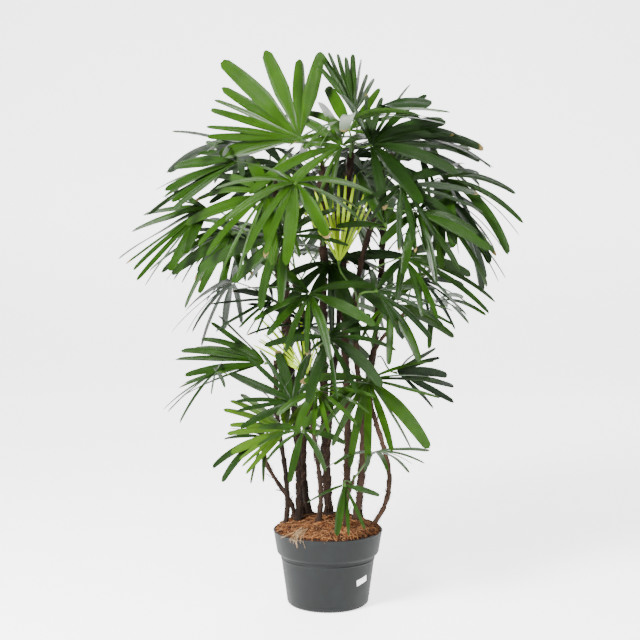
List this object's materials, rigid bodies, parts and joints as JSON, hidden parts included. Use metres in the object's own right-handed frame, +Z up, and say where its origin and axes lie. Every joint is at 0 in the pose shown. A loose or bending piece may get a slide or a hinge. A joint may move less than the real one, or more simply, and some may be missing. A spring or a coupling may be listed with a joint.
{
  "type": "lady palm",
  "caption": "Lady palm: a clump of slender fibrous canes with fans of blunt green leaflets, in a round dark grey plastic nursery pot with a deep band under its rim.",
  "frame": {"origin": "centre of the pot's flat underside, on the ground", "axes": "+Z up, -Y towards the front of the plant as it is pictured, +X to the right of that view"},
  "size_m": [1.2075, 1.0352, 1.6416],
  "materials": {
    "pot_plastic": "matte moulded plastic, dusty dark grey",
    "mulch": "loose orange-brown plant fibre",
    "bark": "brown, wrapped in coarse dark fibre",
    "leaf_dark": "glossy dark green leaf",
    "leaf_green": "glossy mid green leaf",
    "leaf_lime": "glossy bright green young leaf"
  },
  "bodies": {
    "root": {"pot": "pot_plastic", "potting_mix": "mulch", "cane_1": "bark", "cane_2": "bark", "cane_3": "bark", "cane_4": "bark", "cane_5": "bark", "cane_6": "bark", "cane_7": "bark", "cane_8": "bark", "cane_9": "bark", "cane_10": "bark", "cane_11": "bark", "cane_12": "bark", "cane_13": "bark", "cane_1_crown": "leaf_dark", "cane_2_crown": "leaf_green", "cane_3_crown": "leaf_lime", "cane_4_crown": "leaf_dark", "cane_5_crown": "leaf_green", "cane_6_crown": "leaf_lime", "cane_7_crown": "leaf_dark", "cane_8_crown": "leaf_green", "cane_9_crown": "leaf_lime", "cane_10_crown": "leaf_dark", "cane_11_crown": "leaf_green", "cane_12_crown": "leaf_lime", "cane_13_crown": "leaf_dark", "cane_5_frond_1": "leaf_dark", "cane_5_frond_2": "leaf_green", "cane_5_frond_3": "leaf_lime", "cane_6_frond_1": "leaf_dark", "cane_6_frond_2": "leaf_green", "cane_6_frond_3": "leaf_lime", "cane_7_frond_1": "leaf_dark", "cane_7_frond_2": "leaf_green", "cane_7_frond_3": "leaf_lime", "cane_3_frond_1": "leaf_dark", "cane_3_frond_2": "leaf_green", "cane_8_frond_1": "leaf_lime", "cane_8_frond_2": "leaf_dark", "cane_4_frond_1": "leaf_green", "cane_2_frond_1": "leaf_lime", "cane_3_frond_3": "leaf_dark", "cane_9_frond_1": "leaf_green", "cane_6_frond_4": "leaf_lime", "cane_9_frond_2": "leaf_dark", "cane_9_frond_3": "leaf_green", "cane_2_frond_2": "leaf_lime", "cane_3_frond_4": "leaf_dark", "cane_4_frond_2": "leaf_green", "cane_4_frond_3": "leaf_lime", "cane_5_frond_4": "leaf_dark", "cane_6_frond_5": "leaf_green", "cane_8_frond_3": "leaf_lime", "cane_11_frond_1": "leaf_dark", "cane_11_frond_2": "leaf_green", "cane_12_frond_1": "leaf_lime", "cane_12_frond_2": "leaf_dark", "cane_12_frond_3": "leaf_green"}
  },
  "joints": []
}
